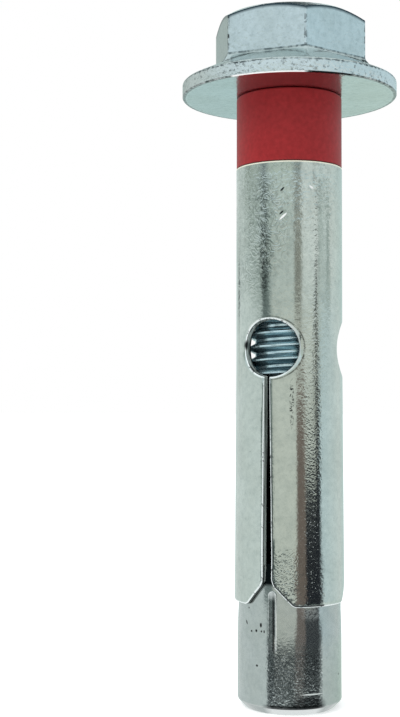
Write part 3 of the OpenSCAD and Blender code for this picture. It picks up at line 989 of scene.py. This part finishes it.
def turned_zinc():
    """Zinc on the turned nut: mirror-like, with a finer grain, a few pits and knocks, painted flecks of
    shade and highlight at its front, a painted highlight on its chamfer, and painted shade on its
    bore and where it lies inside the sleeve."""
    material, add, place = new_material("bright zinc on turned steel")
    outward, radius, height, facing = round_the_axis(add, place)
    chamfer, white, line = nut_chamfer(add, outward, height)
    shadow, shine = front_flecks(add, place, outward, height)
    # Painted shade on the bore and on the part of the nut that lies inside the sleeve
    under_sleeve = SLEEVE_LOW + NOTCH_H
    inside = most(add, [add("MapRange", radius, NUT_ROOT_R + 0.07, NUT_ROOT_R - 0.08),
                        add("MapRange", height, under_sleeve - 0.3, under_sleeve)])
    # Ribs and dust beside them, mottled every 0.3 mm, and a dark patch that ends in a bright scratch
    mottle = add("MapRange", add("TexNoise", place, Scale=1 / 0.3, Detail=3, Roughness=0.7), 0.42, 0.6)
    pale, rib_line, bright = rib_mottle_and_lights(add, place, radius, height, mottle)
    dusty = mark(add, place, NUT_R, 25, SLEEVE_LOW - 0.5, 0, 2.6, 1.7)
    dusty = add("Math", add("Math", dusty, mottle, operation="MULTIPLY"), 0.35, operation="MULTIPLY")
    patch = add("Math", mark(add, place, NUT_R, 20, 1.0, 0, 4.4, 1.9), 0.75, operation="MULTIPLY")
    scratch = mark(add, place, NUT_R, 25, 1.95, 0, 2.6, 0.16)
    rubbed_and_highlit = most(add, [*bright, dusty, scratch])
    knocks = marks(add, place, NUT_R, [
        (-32.5, 8.05, 0, 0.28, 0.5), (-38.5, 7.5, 0, 0.28, 0.3), (-45.5, 7.4, 0, 0.25, 0.22),
        (-31.7, 7.5, 0, 0.2, 0.22), (-28.3, 7.5, 0, 0.17, 0.32), (-54, 8.1, -30, 0.2, 0.5),
        (-37.5, 4.35, 0, 0.28, 0.25)])
    peel = add("MapRange", height, NUT_STRAIGHT + 0.6, NUT_STRAIGHT, 0.005, 0.009)
    metallic = add("MapRange", rubbed_and_highlit, 0, 1, 0.93, 0.3)
    coats = [(pits(add, place, 0.9, 0.3), "#1d2224"), (shadow, "#3a4347"), (shine, "#eef4f4"),
             (patch, "#262c30"), (pale, "#ffffff"), (knocks, "#0c0f10"), (rib_line, "#141819"),
             (rubbed_and_highlit, "#f4faf9"), (chamfer, "#a3adac"), (white, "#dbe1e1"), (line, "#14181a"),
             (inside, "#181f22")]
    zinc_skin(add, place, "#bcc4c3", coats, 0.1, peel, peel_width=0.2, metallic=metallic)
    return material


def red_plastic():
    """Injection-moulded polyethylene: even deep red with a satin skin and the faint cloud of its pigment."""
    material, add, place = new_material("moulded red plastic")
    # Satin texture of the mould and cloud of the pigment, both 0.4 mm wide, a few micrometres deep
    grain = add("TexNoise", place, Scale=1 / 0.4, Detail=4)
    colour = add("ValToRGB", grain, stops=[(0.3, "#911418"), (0.7, "#a31e22")])
    bump = add("Bump", Strength=0.2, Distance=0.02 * MM, Height=grain)
    # Painted shade in the joint with the sleeve, darkest at the collar's lower edge
    height = add("SeparateXYZ", place).outputs["Z"]
    joint_shade = add("MapRange", height, COLLAR_LOW + 0.16, COLLAR_LOW + 0.06, 0, 0.85)
    colour = add("Mix", joint_shade, colour, linear("#24090b"), data_type="RGBA")
    add("OutputMaterial", add("BsdfPrincipled", colour, Roughness=0.48, Specular_IOR_Level=0.35, Normal=bump))
    return material


# Studio


def camera():
    """The photograph's view: close, level with the middle of the anchor, turned a little left."""
    distance, height = 118.83, 28.8
    yaw, pitch, roll = (math.radians(a) for a in (4.08, 1.77, 0.07))
    data = bpy.data.cameras.new("camera")
    data.sensor_fit = "VERTICAL"
    data.sensor_height = 36
    data.lens = 62.83
    data.clip_start = 0.005
    piece = bpy.data.objects.new("camera", data)
    bpy.context.scene.collection.objects.link(piece)
    turn = (Matrix.Rotation(yaw, 4, "Z") @ Matrix.Rotation(math.pi / 2 + pitch, 4, "X")
            @ Matrix.Rotation(roll, 4, "Z"))
    piece.matrix_world = Matrix.Translation(Vector((0, -distance, height)) * MM) @ turn
    bpy.context.scene.camera = piece


# What the plating mirrors, from the wall behind the anchor round to the darker end of the room
# behind the camera
ROOM = {
    "back wall": "#bfd8d5", "pale wall": "#d0e2d8", "white wall": "#e9efee", "soft wall": "#d6ddda",
    "shaded wall": "#b2bcb8", "cream wall": "#dfe0d8", "warm shade": "#aaa9a0", "taupe wall": "#7b7972",
    "blue wall": "#dae8ed", "sky wall": "#e8f4fa", "sky shade": "#d3e6ed", "olive wall": "#bcc6b3",
    "olive shade": "#a2aba0", "window": "#f4f6f4", "ceiling": "#e6f0f0", "beam": "#2c383c",
    "sheet": "#ffffff", "table": "#2c353a", "black table": "#20272b", "grey door": "#808b89",
    "grey shelf": "#66716f", "dark shelf": "#39464a", "black shelf": "#15191b",
    "dark curtain": "#2b2d33", "brown panel": "#80716a", "brown skirting": "#706a68",
}
# Layers of the room from the floor up: the sine of a layer's lowest elevation, how soft that edge is,
# and what stands there, each from one azimuth to another in degrees, blending into the next
LAYERS = (
    (-0.42, 0.03, [(-150, 120, "white wall"), (172, 177, "pale wall")]),
    (-0.263, 0.002, [
        (-150, -52, "white wall"), (-48, 10, "table"), (15, 28, "brown skirting"), (33, 68, "black table"),
        (75, 75, "white wall"), (172, 177, "pale wall")]),
    (-0.18, 0.004, [
        (-150, -52, "white wall"), (-47, -36, "grey shelf"), (-31, 10, "cream wall"),
        (13, 34, "brown panel"), (38, 73, "dark curtain"), (78, 78, "blue wall"), (130, 130, "white wall")]),
    (-0.13, 0.01, [
        (-150, -52, "white wall"), (-47, -36, "grey shelf"), (-31, 14, "cream wall"),
        (18, 33, "brown panel"), (36, 67, "dark curtain"), (72, 72, "blue wall"), (130, 130, "white wall")]),
    (-0.042, 0.012, [
        (-150, -62, "white wall"), (-57, -42, "grey door"), (-35, 14, "cream wall"),
        (17, 30, "brown panel"), (34, 58, "cream wall"), (60, 65, "dark curtain"), (70, 70, "blue wall"),
        (130, 130, "white wall")]),
    (0.02, 0.006, [
        (-147, -147, "white wall"), (-144, -138, "soft wall"), (-135, -62, "white wall"),
        (-57, -42, "grey door"), (-35, 50, "cream wall"), (54, 54, "warm shade"), (55, 60, "black shelf"),
        (61, 61, "warm shade"), (67, 67, "soft wall"), (77, 77, "blue wall"), (130, 130, "white wall")]),
    (0.07, 0.012, [
        (-147, -147, "white wall"), (-144, -138, "dark shelf"), (-135, -90, "white wall"),
        (-62, -62, "shaded wall"), (-58, -46, "grey door"), (-42, 9, "soft wall"), (13, 24, "taupe wall"),
        (30, 57, "white wall"), (58.5, 62, "black shelf"), (63.5, 71, "soft wall"),
        (98, 98, "shaded wall"), (104, 104, "white wall")]),
    (0.1, 0.01, [
        (-150, -100, "soft wall"), (-82, -67, "shaded wall"), (-60, -52, "black shelf"),
        (-45, -45, "shaded wall"), (-22, 8, "soft wall"), (15, 22, "warm shade"), (32, 64, "window"),
        (67, 67, "grey door"), (70, 80, "soft wall"), (86, 86, "white wall"), (89, 94, "shaded wall"),
        (99, 99, "window")]),
    (0.135, 0.01, [
        (-170, -116, "white wall"), (-92, -66, "shaded wall"), (-60, -60, "shaded wall"),
        (-58, -54, "grey door"), (-50, -50, "shaded wall"), (-22, 8, "soft wall"), (15, 22, "warm shade"),
        (32, 64, "window"), (70, 76, "shaded wall"), (80, 86, "white wall"), (89, 94, "shaded wall"),
        (99, 99, "window")]),
    (0.165, 0.008, [(-157, -36, "white wall"), (20, 70, "window"), (140, 140, "blue wall")]),
    (0.176, 0.003, [
        (-150, -118, "soft wall"), (-104, -70, "olive shade"), (-60, -54, "dark shelf"),
        (-46, -46, "olive shade"), (-38, 3, "olive wall"), (14, 22, "grey shelf"), (30, 60, "window"),
        (70, 78, "white wall"), (86, 86, "window")]),
    (0.21, 0.02, [
        (-157, -157, "shaded wall"), (-120, -120, "soft wall"), (-36, 20, "sky wall"),
        (60, 140, "sky shade")]),
)


def studio_world():
    """A pale studio for the plating to mirror, in layers."""
    world = bpy.data.worlds.new("studio")
    world.use_nodes = True
    world.node_tree.nodes.clear()
    add = functools.partial(add_node, world.node_tree)
    way = add("SeparateXYZ", add("TexCoord").outputs["Generated"]).outputs
    azimuth = add("Math", way["X"], add("Math", way["Y"], -1, operation="MULTIPLY"), operation="ARCTAN2")
    share = add("MapRange", azimuth, -math.pi, math.pi)
    colour = linear(ROOM["sheet"])
    for height, softness, things in LAYERS:
        places = [(place, thing) for start, end, thing in things for place in sorted({start, end})]
        places = [(-180, "back wall"), *places, (180, "back wall")]
        band = add("ValToRGB", share, stops=[(place / 360 + 0.5, ROOM[thing]) for place, thing in places])
        edge = add("MapRange", way["Z"], height - softness, height + softness)
        colour = add("Mix", edge, colour, band, data_type="RGBA")
    overhead = add("MapRange", way["Z"], 0.5, 0.56)
    colour = add("Mix", overhead, colour, linear(ROOM["ceiling"]), data_type="RGBA")
    # A dark beam under the ceiling, behind the anchor
    beam = add("MapRange", way["Z"], 0.59, 0.61)
    beam = add("Math", beam, add("MapRange", way["Z"], 0.77, 0.75), operation="MULTIPLY")
    beam = add("Math", beam, add("MapRange", way["Y"], 0.45, 0.5), operation="MULTIPLY")
    colour = add("Mix", beam, colour, linear(ROOM["beam"]), data_type="RGBA")
    rays = add("LightPath").outputs
    colour = add("Mix", rays["Is Diffuse Ray"], colour, linear("#eef0f0"), data_type="RGBA")
    colour = add("Mix", rays["Is Camera Ray"], colour, linear("#ffffff"), data_type="RGBA")
    add("OutputWorld", add("Background", colour, 1.0))
    bpy.context.scene.world = world


def floor():
    """Plain white floor that keeps the anchor's shadow."""
    clear_selection()
    bpy.ops.mesh.primitive_plane_add(size=4)
    piece = bpy.context.object
    piece.name = "floor"
    material, add, _ = new_material("white studio floor")
    diffuse = add("BsdfDiffuse", linear("#f4f5f5"))
    glow = add("Emission", linear("#ffffff"), 0.45)
    seen = add("LightPath").outputs["Is Camera Ray"]
    add("OutputMaterial", add("MixShader", seen, diffuse, add("AddShader", diffuse, glow)))
    piece.data.materials.append(material)
    piece.visible_glossy = False


def soft_box(name, place, size, power):
    """A square lamp that looks at the middle of the anchor."""
    data = bpy.data.lights.new(name, "AREA")
    data.size = size
    data.energy = power
    piece = bpy.data.objects.new(name, data)
    bpy.context.scene.collection.objects.link(piece)
    aim = Vector((0, 0, 0.03)) - Vector(place)
    piece.matrix_world = Matrix.Translation(place) @ aim.to_track_quat("-Z", "Y").to_matrix().to_4x4()
    piece.visible_glossy = False


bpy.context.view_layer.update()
camera()
studio_world()
floor()
soft_box("key lamp", (-0.25, -0.2, 0.35), 0.25, 0.6)
bolt(forged_zinc())
collar(red_plastic())
sleeve(rolled_zinc())
cone_nut(turned_zinc())
bpy.context.scene.view_settings.view_transform = "Standard"
